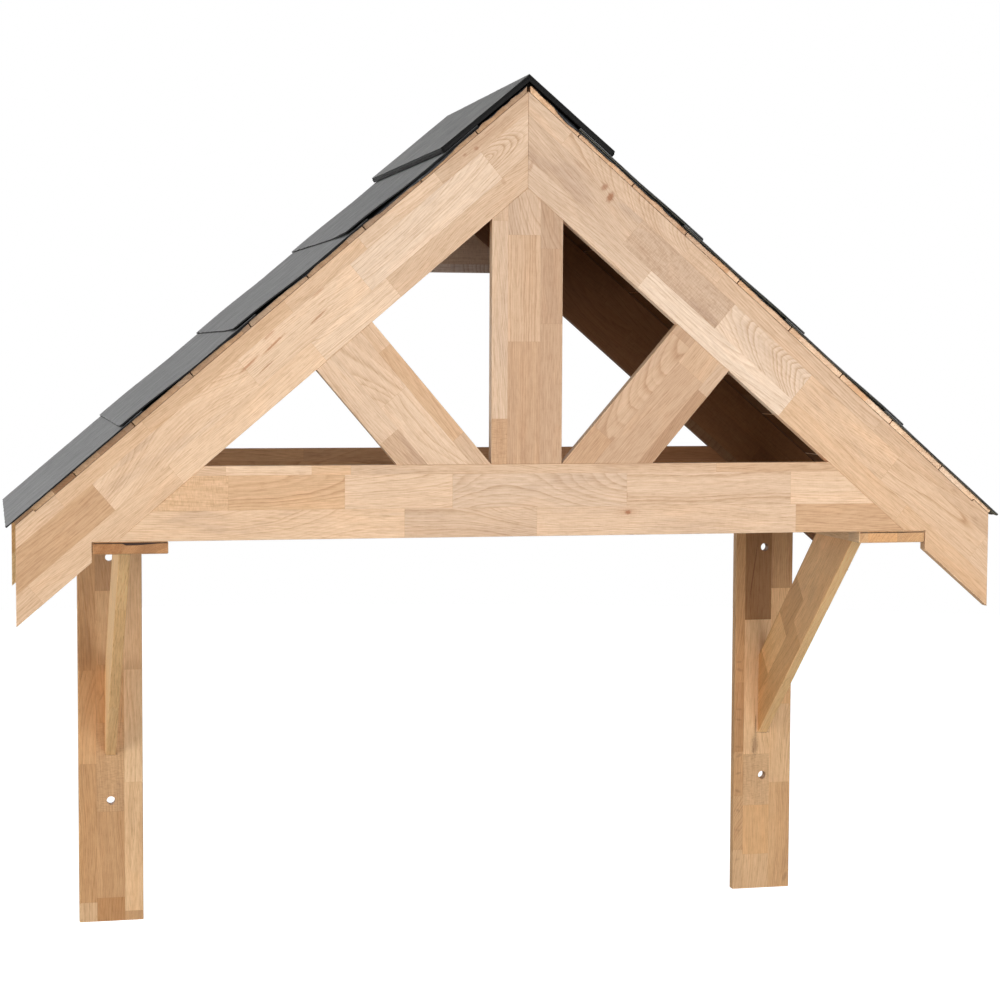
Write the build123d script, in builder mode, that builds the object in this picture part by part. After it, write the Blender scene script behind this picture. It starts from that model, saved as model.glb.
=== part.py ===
from build123d import *
from math import cos, sin, tan, atan, atan2, radians, hypot
import os

# Oak porch canopy, in millimetres. Two trusses of laminated oak board stand on a pair of
# gallows brackets, close boarded and slated. X runs along the wall, the wall is the plane
# Y = 0, the canopy stands out from it towards -Y, and Z is up. The origin is the middle of
# the rear tie beam's back face, which lies against the wall.

# Laminated oak board that the trusses and brackets are cut from
board_width = 120.0
board_thickness = 20.0
truss_arris_round = 1.0
bracket_arris_round = 2.5

# Overall form
canopy_depth = 665.0  # wall to the front face of the front truss
bracket_span = 1418.0  # over the outer edges of the two brackets
roof_pitch = 40.5  # degrees
tail_overhang = 119.0  # rafter tails beyond the brackets, measured level

# Rafter details
seat_length = 37.0  # level seat of each rafter on its bracket arm
heel_clearance = 1.0  # between the arm's outer edge and the rafter's heel
nib_length = 36.0  # raised nib along the top of each rafter tail
nib_height = 4.0

# Rear truss
gusset_height = 116.0

# Gallows brackets
bracket_drop = 776.0  # top of the arm to the foot of the wall plate
brace_setback = 145.0  # front end of the arm to the brace
brace_drop = 438.0  # underside of the arm to the foot of the brace
bolt_hole_diameter = 16.0
bolt_spacing = 462.0
lower_bolt_height = 231.0  # above the foot of the wall plate

# Roof boarding, boards running from the front to the wall
boards_per_slope = 9
deck_thickness = 9.0
deck_joint = 2.0  # open joint between boards
deck_arris_round = 1.0
top_board_trim = 11.6  # how much narrower the top board is ripped
ridge_gap = 6.0  # between the two top boards

# Underlay, slates and ridge
underlay_thickness = 0.5
courses_per_slope = 4
slate_thickness = 3.0
slate_lap = 43.0
eaves_overhang = 15.0  # eaves slates beyond the boarding, along the slope
verge_overhang = 7.0  # slates beyond the front truss
ridge_wing = 176.0
ridge_cover = 72.0  # length of the top slates that each wing lies on
ridge_thickness = 10.0

# Levels and half widths
tie_bottom = -board_width / 2
tie_top = board_width / 2
bracket_edge = bracket_span / 2
tail_x = bracket_edge + tail_overhang
pitch = radians(roof_pitch)
tie_half_bottom = bracket_edge - seat_length
tie_half_top = tie_half_bottom - board_width / tan(pitch)
inner_apex = tie_bottom + tie_half_bottom * tan(pitch)
outer_apex = inner_apex + board_width / cos(pitch)

# Lengths along the slope, from the rafters' outer apex. The boarding ends flush with the nibs.
deck_tail = (tail_x - nib_height * sin(pitch)) / cos(pitch)
nib_foot = deck_tail - nib_length
deck_pitch = (deck_tail + top_board_trim) / boards_per_slope
eaves_tail = deck_tail + eaves_overhang
top_slate_head = ridge_wing - ridge_cover
slate_exposure = (eaves_tail - slate_lap - top_slate_head) / courses_per_slope
slate_length = slate_exposure + slate_lap
slate_tilt = slate_thickness / slate_exposure

# Heights square to the slope, above the rafters' top edge
underlay_base = deck_thickness
slate_base = underlay_base + underlay_thickness
ridge_base = slate_base + slate_thickness + slate_tilt * ridge_cover

# The ridge's wings lie flat on the top slates, so they are a little flatter than the roof
ridge_pitch = pitch - atan(slate_tilt)

SIDES = {"left": -1, "right": 1}


def on_slope(side, along, rise):
    """Point in the XZ plane, by distance down the slope and height square to it."""
    x = along * cos(pitch) + rise * sin(pitch)
    z = outer_apex - along * sin(pitch) + rise * cos(pitch)
    return (side * x, z)


def along_at(x, rise):
    """Distance down the slope of the point at half width x and the given rise."""
    return (x - rise * sin(pitch)) / cos(pitch)


def lower_edge(x):
    """Height of the rafters' lower edge at half width x."""
    return inner_apex - x * tan(pitch)


def wall_plane(distance):
    """Sketch plane parallel to the wall, whose extrusions run outwards from it."""
    return Plane.XZ.offset(distance)


def save(name, label):
    name.part.label = label
    export_step(name.part, f"parts/{label}.step")


def board(outline, distance):
    """A board of the laminated oak, cut to an outline, its back at a distance from the wall."""
    with BuildPart() as piece:
        with BuildSketch(wall_plane(distance)):
            with BuildLine():
                Polyline(*outline, close=True)
            make_face()
        extrude(amount=board_thickness)
        faces_of_board = piece.faces().filter_by(Axis.Y)
        fillet(faces_of_board.edges(), truss_arris_round)
    return piece


def sheet(outline, near, far, arris_round=0.0):
    """A piece of constant section that runs square out from the wall."""
    with BuildPart() as piece:
        with BuildSketch(wall_plane(near)):
            with BuildLine():
                Polyline(*outline, close=True)
            make_face()
        extrude(amount=far - near)
        if arris_round > 0:
            fillet(piece.edges().filter_by(Axis.Y), arris_round)
    return piece


def rafter_outline(side):
    """Rafter with a plumb apex, a birdsmouth over the bracket arm and a nib at its tail."""
    heel = bracket_edge + heel_clearance
    return [
        (0, outer_apex),
        (0, inner_apex),
        (side * tie_half_bottom, tie_bottom),
        (side * heel, tie_bottom),
        (side * heel, lower_edge(heel)),
        (side * tail_x, lower_edge(tail_x)),
        on_slope(side, deck_tail, nib_height),
        on_slope(side, nib_foot, nib_height),
        on_slope(side, nib_foot, 0),
    ]


def tie_outline():
    return [
        (-tie_half_bottom, tie_bottom),
        (tie_half_bottom, tie_bottom),
        (tie_half_top, tie_top),
        (-tie_half_top, tie_top),
    ]


def king_post_outline():
    half = board_width / 2
    return [
        (-half, tie_top),
        (half, tie_top),
        (half, lower_edge(half)),
        (0, inner_apex),
        (-half, lower_edge(half)),
    ]


def strut_outline(side):
    """Strut square to the rafter, rising from the corner of the king post and tie beam."""
    foot_x = board_width / 2
    inner = foot_x * cos(pitch) + (outer_apex - tie_top) * sin(pitch)
    outer = inner + board_width
    outer_foot_x = foot_x + board_width / cos(pitch)
    return [
        (side * foot_x, tie_top),
        (side * outer_foot_x, tie_top),
        on_slope(side, outer, -board_width),
        on_slope(side, inner, -board_width),
    ]


def gusset_outline():
    bottom = inner_apex - gusset_height
    half = gusset_height / tan(pitch)
    return [(-half, bottom), (half, bottom), (0, inner_apex)]


def deck_outline(side, number):
    """Section of one roof board, counted up from the eaves."""
    low = deck_tail - (number - 1) * deck_pitch
    high = low - deck_pitch + deck_joint
    if number == boards_per_slope:
        half = ridge_gap / 2
        return [
            on_slope(side, low, 0),
            on_slope(side, low, deck_thickness),
            on_slope(side, along_at(half, deck_thickness), deck_thickness),
            on_slope(side, along_at(half, 0), 0),
        ]
    if number > 1:
        return [
            on_slope(side, low, 0),
            on_slope(side, low, deck_thickness),
            on_slope(side, high, deck_thickness),
            on_slope(side, high, 0),
        ]
    rebate = nib_foot - deck_joint
    return [
        on_slope(side, low, nib_height),
        on_slope(side, low, deck_thickness),
        on_slope(side, high, deck_thickness),
        on_slope(side, high, 0),
        on_slope(side, rebate, 0),
        on_slope(side, rebate, nib_height),
    ]


def slate_outline(side, course):
    """Section of one slate course, counted up from the eaves."""
    tail = eaves_tail - (course - 1) * slate_exposure
    head = tail - slate_length
    lift = slate_tilt * slate_length if course > 1 else 0
    return [
        on_slope(side, head, slate_base),
        on_slope(side, tail, slate_base + lift),
        on_slope(side, tail, slate_base + lift + slate_thickness),
        on_slope(side, head, slate_base + slate_thickness),
    ]


def folded_outline(length, base, thickness, fold_pitch):
    """Section of a layer folded over the ridge at its own pitch, its edges square to it."""
    lower_x, lower_z = on_slope(1, length, base)
    upper_x = lower_x + thickness * sin(fold_pitch)
    upper_z = lower_z + thickness * cos(fold_pitch)
    return [
        (-lower_x, lower_z),
        (-upper_x, upper_z),
        (0, upper_z + upper_x * tan(fold_pitch)),
        (upper_x, upper_z),
        (lower_x, lower_z),
        (0, lower_z + lower_x * tan(fold_pitch)),
    ]


def wall_plate(side):
    """Upright of a bracket, with its two bolt holes."""
    foot = tie_bottom - bracket_drop
    middle = side * (bracket_edge - board_width / 2)
    with BuildPart() as piece:
        with BuildSketch(wall_plane(0)):
            with Locations((middle, foot + bracket_drop / 2)):
                Rectangle(board_width, bracket_drop)
        extrude(amount=board_thickness)
        fillet(piece.edges().filter_by(Axis.Z), bracket_arris_round)
        with Locations(Plane.XZ.offset(board_thickness)):
            with Locations(
                (middle, foot + lower_bolt_height),
                (middle, foot + lower_bolt_height + bolt_spacing),
            ):
                Hole(bolt_hole_diameter / 2)
    return piece


def bracket_arm(side):
    """Flat arm that the trusses stand on, rounded along its sides and front end."""
    middle = side * (bracket_edge - board_width / 2)
    length = canopy_depth - board_thickness
    with BuildPart() as piece:
        with BuildSketch(Plane.XY.offset(tie_bottom - board_thickness)):
            with Locations((middle, -board_thickness - length / 2)):
                Rectangle(board_width, length)
        extrude(amount=board_thickness)
        front_edges = piece.faces().sort_by(Axis.Y)[0].edges()
        fillet(piece.edges().filter_by(Axis.Y) + front_edges, bracket_arris_round)
    return piece


def bracket_brace(side):
    """Raking brace on edge, from the wall plate to the underside of the arm."""
    middle = side * (bracket_edge - board_width / 2)
    arm_underside = tie_bottom - board_thickness
    head_y = -(canopy_depth - brace_setback)
    foot_y = -board_thickness
    rake = atan2(brace_drop, foot_y - head_y)
    with BuildPart() as piece:
        with BuildSketch(Plane.YZ.offset(middle)):
            with BuildLine():
                Polyline(
                    (head_y, arm_underside),
                    (foot_y, arm_underside - brace_drop),
                    (foot_y, arm_underside - brace_drop + board_width / cos(rake)),
                    (head_y + board_width / sin(rake), arm_underside),
                    close=True,
                )
            make_face()
        extrude(amount=board_thickness / 2, both=True)
        run = hypot(foot_y - head_y, brace_drop)
        long_edges = piece.edges().filter_by(
            lambda edge: abs(edge.tangent_at(0).Y) * run > 0.99 * (foot_y - head_y)
            and abs(edge.tangent_at(0).Z) * run > 0.99 * brace_drop
        )
        fillet(long_edges, bracket_arris_round)
    return piece


os.makedirs("parts", exist_ok=True)

front_back = canopy_depth - board_thickness
slate_front = canopy_depth + verge_overhang

save(board(tie_outline(), front_back), "front_tie_beam")
save(board(king_post_outline(), front_back), "front_king_post")
save(board(tie_outline(), 0), "rear_tie_beam")
save(board(gusset_outline(), 0), "rear_apex_gusset")

for hand, side in SIDES.items():
    save(board(rafter_outline(side), front_back), f"front_rafter_{hand}")
    save(board(strut_outline(side), front_back), f"front_strut_{hand}")
    save(board(rafter_outline(side), 0), f"rear_rafter_{hand}")
    save(wall_plate(side), f"{hand}_wall_plate")
    save(bracket_arm(side), f"{hand}_bracket_arm")
    save(bracket_brace(side), f"{hand}_bracket_brace")
    for number in range(1, boards_per_slope + 1):
        roof_board = sheet(deck_outline(side, number), 0, canopy_depth, deck_arris_round)
        save(roof_board, f"deck_board_{hand}_{number}")
    for course in range(1, courses_per_slope + 1):
        save(sheet(slate_outline(side, course), 0, slate_front), f"slate_course_{hand}_{course}")

underlay_outline = folded_outline(deck_tail, underlay_base, underlay_thickness, pitch)
save(sheet(underlay_outline, 0, canopy_depth), "underlay")

ridge_outline = folded_outline(ridge_wing, ridge_base, ridge_thickness, ridge_pitch)
save(sheet(ridge_outline, 0, slate_front), "ridge_cap")
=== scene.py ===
import random
from math import cos, floor, pi, radians, sin, sqrt

import bpy
from mathutils import Matrix, Vector, noise


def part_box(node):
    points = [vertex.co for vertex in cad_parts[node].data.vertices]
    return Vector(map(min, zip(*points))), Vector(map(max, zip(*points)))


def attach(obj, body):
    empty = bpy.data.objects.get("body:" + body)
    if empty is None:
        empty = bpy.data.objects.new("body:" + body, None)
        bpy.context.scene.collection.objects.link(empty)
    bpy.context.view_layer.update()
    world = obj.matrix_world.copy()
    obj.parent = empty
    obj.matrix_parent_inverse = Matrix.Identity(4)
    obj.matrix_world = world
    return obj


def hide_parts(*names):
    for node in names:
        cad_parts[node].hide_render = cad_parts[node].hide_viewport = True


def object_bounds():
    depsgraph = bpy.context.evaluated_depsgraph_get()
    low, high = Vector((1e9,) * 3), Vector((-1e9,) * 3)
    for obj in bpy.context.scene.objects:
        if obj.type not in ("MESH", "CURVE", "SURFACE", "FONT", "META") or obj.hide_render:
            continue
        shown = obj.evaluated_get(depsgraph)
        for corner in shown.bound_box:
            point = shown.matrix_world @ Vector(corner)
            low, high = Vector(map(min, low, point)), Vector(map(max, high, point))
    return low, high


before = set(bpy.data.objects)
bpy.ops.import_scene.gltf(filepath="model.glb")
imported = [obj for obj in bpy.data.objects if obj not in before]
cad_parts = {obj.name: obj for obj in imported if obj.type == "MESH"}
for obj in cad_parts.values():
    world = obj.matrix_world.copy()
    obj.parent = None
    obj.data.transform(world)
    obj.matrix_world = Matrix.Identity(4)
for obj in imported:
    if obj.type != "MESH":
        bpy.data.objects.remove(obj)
cad_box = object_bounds()

# Porch canopy. Oak boards keep their CAD shape and get a laminated oak finish worked out in each
# board's own frame; slates, ridge cap and underlay are modelled afresh inside their CAD solids.
# Lengths are in millimetres unless a name says metres.

MM = 0.001
PITCH = radians(40.5)
WIDTH = 120.0
THICKNESS = 20.0
UP = Vector((0, 0, 1))
ACROSS = Vector((1, 0, 0))  # along the wall, to the right
OUTWARDS = Vector((0, -1, 0))  # away from the wall
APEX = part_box("front_rafter_left")[1].z  # metres, outer apex of the rafters
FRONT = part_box("front_tie_beam")[0].y  # metres, front face of the front truss
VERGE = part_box("ridge_cap")[0].y  # metres, front edge of the slates and ridge
TIE_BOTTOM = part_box("front_tie_beam")[0].z
TIE_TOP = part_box("front_tie_beam")[1].z
TIE_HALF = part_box("front_tie_beam")[1].x
DECK_TAIL = 1085.5
NIB_LENGTH = 36.0
NIB_FOOT = DECK_TAIL - NIB_LENGTH  # where the rafter's nib starts, under the last board
NIB_HEIGHT = 4.0


def srgb(red, green, blue):
    """Linear colour of an sRGB one given in 0 to 255."""
    return tuple(
        c / 12.92 if c <= 0.04045 else ((c + 0.055) / 1.055) ** 2.4
        for c in (red / 255, green / 255, blue / 255)
    ) + (1.0,)


def scaled(colour, share):
    """A colour made lighter or darker."""
    return tuple(c * share for c in colour[:3]) + (1,)


def smooth(low, high, value):
    """0 below low, 1 above high, and a smooth step between them."""
    t = min(max((value - low) / (high - low), 0.0), 1.0)
    return t * t * (3 - 2 * t)


def on_slope(side, along, rise):
    """Point in metres, as (x, z), by distance down the slope and height square to it."""
    x = along * cos(PITCH) + rise * sin(PITCH)
    z = -along * sin(PITCH) + rise * cos(PITCH)
    return side * x * MM, APEX + z * MM


def slope_axes(side):
    """Unit vectors down the slope and square to it."""
    return (
        Vector((side * cos(PITCH), 0, -sin(PITCH))),
        Vector((side * sin(PITCH), 0, cos(PITCH))),
    )


class Graph:
    """Short-hand for building a node tree."""

    def __init__(self, tree):
        self.nodes, self.links = tree.nodes, tree.links

    def node(self, kind, inputs=(), **settings):
        made = self.nodes.new(kind)
        for name, value in settings.items():
            setattr(made, name, value)
        pairs = inputs.items() if isinstance(inputs, dict) else enumerate(inputs)
        for key, value in pairs:
            self.plug(made.inputs[key], value)
        return made

    def plug(self, socket, value):
        if isinstance(value, bpy.types.NodeSocket):
            self.links.new(value, socket)
        else:
            socket.default_value = value

    def math(self, operation, *values):
        return self.node("ShaderNodeMath", values, operation=operation).outputs[0]

    def times(self, value, by):
        return self.math("MULTIPLY", value, by)

    def times_plus(self, value, by, more):
        return self.math("MULTIPLY_ADD", value, by, more)

    def minus(self, value, less):
        return self.math("SUBTRACT", value, less)

    def vector(self, operation, *values):
        made = self.node("ShaderNodeVectorMath", values, operation=operation)
        scalar = operation in ("DOT_PRODUCT", "LENGTH")
        return made.outputs["Value" if scalar else "Vector"]

    def object_place(self):
        return self.node("ShaderNodeTexCoord").outputs["Object"]

    def join(self, x, y, z):
        return self.node("ShaderNodeCombineXYZ", (x, y, z)).outputs[0]

    def stretch(self, *axes):
        """Point whose three coordinates are plain values or (value, scale) pairs."""
        return self.join(*(self.times(*a) if isinstance(a, tuple) else a for a in axes))

    def noise(self, place, scale=1.0, detail=2.0, roughness=0.5, distortion=0.0):
        values = {
            "Vector": place,
            "Scale": scale,
            "Detail": detail,
            "Roughness": roughness,
            "Distortion": distortion,
        }
        return self.node("ShaderNodeTexNoise", values, noise_dimensions="3D").outputs["Fac"]

    def span(self, value, low, high, to_low=0.0, to_high=1.0):
        """Smooth step from to_low at low to to_high at high."""
        values = (value, low, high, to_low, to_high)
        made = self.node("ShaderNodeMapRange", interpolation_type="SMOOTHSTEP", clamp=True)
        for socket, given in zip(made.inputs, values):
            self.plug(socket, given)
        return made.outputs[0]

    def mix(self, factor, first, second, kind="RGBA", blend="MIX"):
        made = self.node("ShaderNodeMix", data_type=kind)
        if kind == "RGBA":
            made.blend_type = blend
        offset = {"FLOAT": 2, "VECTOR": 4, "RGBA": 6}[kind]
        self.plug(made.inputs[0], factor)
        self.plug(made.inputs[offset], first)
        self.plug(made.inputs[offset + 1], second)
        return made.outputs[{"FLOAT": 0, "VECTOR": 1, "RGBA": 2}[kind]]

    def tint(self, factor, colour, by):
        """Colour multiplied by another one, as far as factor says."""
        return self.mix(factor, colour, by, blend="MULTIPLY")

    def tints(self, colour, *layers):
        """Colour tinted in turn by (mask, red, green, blue) layers."""
        for mask, *by in layers:
            colour = self.tint(mask, colour, (*by, 1))
        return colour

    def bump(self, shader, height, strength, distance):
        """Bump on a shader. Distance is in metres."""
        values = {"Strength": strength, "Distance": distance, "Height": height}
        self.plug(shader.inputs["Normal"], self.node("ShaderNodeBump", values).outputs[0])


def new_material(name):
    material = bpy.data.materials.new(name)
    material.use_nodes = True
    graph = Graph(material.node_tree)
    shader = material.node_tree.nodes["Principled BSDF"]
    return material, graph, shader


def finish_node(node, material):
    """Puts a material on every slot of a CAD node."""
    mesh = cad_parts[node].data
    if not mesh.materials:
        mesh.materials.append(material)
    for index in range(len(mesh.materials)):
        mesh.materials[index] = material


# ---------------------------------------------------------------- oak

OAK_DARK = srgb(157, 112, 73)
OAK_LIGHT = srgb(234, 203, 171)
OAK_PALE = (1.0, 1.085, 1.22, 1)
OAK_WARM = (1.0, 0.915, 0.80, 1)
ARRIS = srgb(240, 208, 170)  # paler oak along worn arrises
GOLDEN = (1.06, 0.96, 0.77)  # wall plates and arms
STRAW_AND_LIGHT = (1.27, 1.12, 0.79)  # braces: straw hue, and lighter as painted light
UMBER_PAINTED_SHADE = (0.48, 0.34, 0.215)  # rear rafter on the right: umber, and darker as painted shade
AMBER = (1.04, 0.93, 0.62)  # rear rafter on the left
RUSSET_AND_SHADE = (0.82, 0.63, 0.46)  # rear tie beam: russet, and darker as painted shade
PINKISH = (1.06, 1.17, 1.42)  # gusset
KNOT = (0.62, 0.40, 0.28, 1)  # reddish heart of knots and gum streaks
BRUISE_AND_FOOT_SHADE = (0.42, 0.35, 0.30, 1)  # grey splits and dirt on the wall plates, and painted shade under the braces' feet
FINGER_PITCH = 2.3
FINGER_LENGTH = 8.0
BUTT_LINE = 0.22  # half width of the dark line at a butt
SEAM_LINE = 0.16  # half width of the glue line between rows
ROW_PITCH = 54.0  # width of a full stave
NARROWEST = 8.0  # least width of a board's last row
TONE_SPREAD = 0.16  # of staves drawn at random


def stave_draws(g, stave, seed):
    """Three random values, 0 to 1, that stay the same all over one stave."""
    place = g.vector("MULTIPLY_ADD", stave, (91.0, 57.0, 73.0), g.join(seed, 0, 0))
    draw = g.node("ShaderNodeTexWhiteNoise", {"Vector": place}, noise_dimensions="3D")
    return g.node("ShaderNodeSeparateXYZ", (draw.outputs["Color"],)).outputs


def growth_rings(g, u, across, through, shift, figure, offset_draw, depth_draw):
    """(distance from the pith, strength of the porous early wood).

    Rings are cones about a pith that leans against the board, so flat faces show nested arches.
    """
    lean = g.noise(g.stretch((u, 0.0020), shift, 0.0), detail=0.0)
    drift = g.noise(g.stretch((u, 0.0032), shift, 4.0), detail=1.0)
    side_off = g.mix(figure, 105.0, 0.0, kind="FLOAT")
    side_off = g.math("ADD", side_off, g.times_plus(offset_draw, 34.0, -17.0))
    pith_across = g.times_plus(g.minus(drift, 0.5), 50.0, side_off)
    depth = g.times_plus(depth_draw, 26.0, 40.0)
    lean_reach = g.times_plus(figure, 290.0, 40.0)
    depth = g.times_plus(g.minus(lean, 0.5), lean_reach, depth)
    offset = g.join(g.minus(across, pith_across), g.math("ADD", through, depth), 0.0)
    radius = g.vector("LENGTH", offset)
    wobble = g.noise(g.stretch((u, 0.012), (across, 0.05), (through, 0.05)), detail=2.0, roughness=0.5)
    radius = g.math("ADD", radius, g.times_plus(wobble, 4.0, -2.0))
    uneven = g.noise(g.stretch((radius, 0.11), shift, 3.0), detail=1.0)
    pace = g.times_plus(offset_draw, 0.24, 0.19)
    turns = g.times_plus(uneven, 2.0, g.times(radius, pace))
    turn = g.math("FRACT", turns)
    fading = g.math("POWER", g.minus(1.0, turn), 2.4)
    early = g.times(fading, g.span(turn, 0.0, 0.16))
    ring_of = g.noise(g.stretch((g.math("FLOOR", turns), 0.73), shift, 8.0), detail=0.0)
    return radius, g.times(early, g.span(ring_of, 0.36, 0.62, 0.30, 1.0))


def oak_group():
    """Node group that shades one stave of oak: growth rings, vessels, fibres, rays and end grain.

    Along, Across and Through are millimetres in the board's frame, Across from the stave's middle.
    Stave holds tone, hue and figure. Figure runs from quarter sawn at 0 to crown cut at 1.
    """
    tree = bpy.data.node_groups.new("oak_stave", "ShaderNodeTree")
    floats = ("Along", "Across", "Through", "Seed", "End", "Edge", "Line")
    sockets = [("INPUT", name, "Float") for name in floats]
    sockets += [("INPUT", "Stave", "Vector"), ("OUTPUT", "Color", "Color")]
    sockets += [("OUTPUT", "Roughness", "Float"), ("OUTPUT", "Height", "Float")]
    for way, name, kind in sockets:
        tree.interface.new_socket(name, in_out=way, socket_type=f"NodeSocket{kind}")
    g = Graph(tree)
    given = g.node("NodeGroupInput").outputs
    along, across, through = given["Along"], given["Across"], given["Through"]
    tone, hue, figure = g.node("ShaderNodeSeparateXYZ", (given["Stave"],)).outputs
    place_draw, ring_draw, slant_draw = stave_draws(g, given["Stave"], given["Seed"])
    shift = g.times(place_draw, 4000.0)
    u = g.math("ADD", along, shift)
    radius, early = growth_rings(g, u, across, through, shift, figure, ring_draw, slant_draw)

    # Long fibres, and the open vessels that crowd each ring's start
    slant = g.times(along, g.times_plus(slant_draw, 0.10, -0.05))
    slanted = g.math("ADD", across, slant)
    fibre = g.noise(g.stretch((u, 0.013), (slanted, 0.60), (through, 0.7)), detail=4.0, roughness=0.7)
    fleck = g.noise(g.stretch((u, 0.050), (slanted, 0.33), (through, 0.33)), detail=2.0, roughness=0.6)
    pore = g.noise(g.stretch((u, 0.050), (slanted, 1.3), (through, 1.3)), detail=1.0, roughness=0.4)
    pores = g.times(g.span(pore, 0.52, 0.66), g.times_plus(early, 0.8, 0.2))

    # Rays show as fine silky ticks across the grain where the stave is quarter sawn
    ray_at = g.stretch((u, 0.42), (across, 0.09), (through, 0.4))
    ray = g.noise(ray_at, detail=3.0, roughness=0.6, distortion=0.4)
    quarter = g.span(figure, 0.34, 0.08, 0.14, 1.0)
    rays = g.times(g.span(ray, 0.48, 0.68), quarter)
    between_rays = g.times(g.span(ray, 0.50, 0.34), quarter)

    cloud = g.noise(g.stretch((u, 0.008), (across, 0.030), shift), detail=3.0, distortion=0.4)
    stain = g.times(g.span(cloud, 0.54, 0.70), g.span(slant_draw, 0.35, 0.9))
    band = g.noise(g.stretch((radius, 0.060), (u, 0.0015), shift), detail=2.0, roughness=0.6)
    ring_strength = g.times_plus(figure, 0.85, 0.30)
    colour = g.mix(tone, OAK_DARK, OAK_LIGHT)
    colour = g.tint(1.0, colour, g.mix(hue, OAK_PALE, OAK_WARM))
    colour = g.tints(
        colour,
        (g.times(early, ring_strength), 0.70, 0.56, 0.43),
        (g.span(band, 0.50, 0.34), 0.95, 0.925, 0.90),
        (g.span(band, 0.52, 0.68), 1.035, 1.04, 1.045),
        (g.span(fleck, 0.49, 0.34), 0.92, 0.89, 0.86),
        (g.span(fleck, 0.53, 0.68), 1.04, 1.055, 1.07),
        (g.span(fibre, 0.53, 0.38), 0.91, 0.88, 0.84),
        (g.span(fibre, 0.51, 0.66), 1.045, 1.06, 1.075),
        (g.times(pores, 0.6), 0.60, 0.47, 0.36),
        (g.times(stain, 0.8), 0.86, 0.84, 0.85),
        (g.span(cloud, 0.50, 0.30), 1.06, 1.05, 1.04),
        (rays, 1.07, 1.09, 1.11),
        (between_rays, 0.90, 0.87, 0.84),
        (given["End"], 0.74, 0.62, 0.50),
        (g.times(given["End"], g.span(band, 0.47, 0.60)), 1.16, 1.20, 1.24),
        (given["Line"], 0.72, 0.60, 0.47),
    )
    worn = g.times(given["Edge"], g.span(fibre, 0.35, 0.65))
    colour = g.mix(g.times(worn, 0.35), colour, ARRIS)

    rough = g.times_plus(pores, 0.16, 0.50)
    rough = g.times_plus(rays, -0.12, rough)
    rough = g.times_plus(fibre, 0.10, rough)
    height = g.times_plus(pores, -0.16, g.times(fibre, 0.05))
    height = g.times_plus(early, -0.05, height)
    height = g.times_plus(given["Line"], -0.08, height)
    g.node("NodeGroupOutput", {"Color": colour, "Roughness": rough, "Height": height})
    return tree


OAK = oak_group()


def steps(g, value, edges, levels, line_width):
    """(vector that steps from level to level at the edges, mask of the thin lines between)."""
    result = g.join(*levels[0])
    lines = 0.0
    for edge, before, after in zip(edges, levels, levels[1:]):
        change = tuple(b - a for a, b in zip(before, after))
        past = g.math("GREATER_THAN", value, edge)
        result = g.vector("MULTIPLY_ADD", g.join(past, past, past), change, result)
        lines = g.math("ADD", lines, g.math("COMPARE", value, edge, line_width))
    return result, lines


def board_place(g, origin, along, across, through):
    """Sockets for the point being shaded in the board's frame, in millimetres."""
    place = g.object_place()
    local = g.vector("SUBTRACT", place, tuple(origin))
    return [g.vector("DOT_PRODUCT", local, tuple(a / MM)) for a in (along, across, through)]


def towards(g, axis):
    """How squarely the surface faces the way an axis points: 1 towards it, -1 away from it."""
    normal = g.node("ShaderNodeNewGeometry").outputs["True Normal"]
    return g.vector("DOT_PRODUCT", normal, tuple(axis))


def facing(g, axis):
    """How squarely the surface faces along an axis, 0 to 1."""
    return g.math("ABSOLUTE", towards(g, axis))


def facing_down(g, out):
    """1 on the underside of the boarding, where the oak is painted darker as painted shade."""
    return g.span(towards(g, out), -0.5, -0.9)


def oak_shader(g, shader, place, stave, seed, line, edge, end):
    """Wires an oak group into the material's shader, and returns its colour."""
    values = dict(zip(("Along", "Across", "Through"), place))
    values |= {"Stave": stave, "Seed": seed, "Line": line, "Edge": edge, "End": end}
    oak = g.node("ShaderNodeGroup", values, node_tree=OAK).outputs
    g.plug(shader.inputs["Roughness"], oak["Roughness"])
    g.bump(shader, oak["Height"], 0.6, 0.0006)
    shader.inputs["Specular IOR Level"].default_value = 0.35
    return oak["Color"]


def apply_marks(g, colour, along, across, marks, stain):
    """Knots, flecks and painted shade lines of the front face: (along, across, half length, half width,
    degrees, strength).
    """
    if not marks:
        return colour
    flat = g.join(along, across, 0.0)
    rough = g.noise(flat, scale=0.35, detail=2.0)
    front = g.span(towards(g, OUTWARDS), 0.5, 0.8)
    for u, v, length, width, turn, strength in marks:
        ellipse = {
            "Vector": flat,
            "Location": (u, v, 0),
            "Rotation": (0, 0, radians(turn)),
            "Scale": (length, width, 1.0),
        }
        held = g.node("ShaderNodeMapping", ellipse, vector_type="TEXTURE")
        away = g.times_plus(rough, 0.8, g.vector("LENGTH", held.outputs[0]))
        mask = g.times(g.span(away, 1.5, 0.7), front)
        colour = g.tint(g.times(mask, strength), colour, stain)
    return colour


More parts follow.
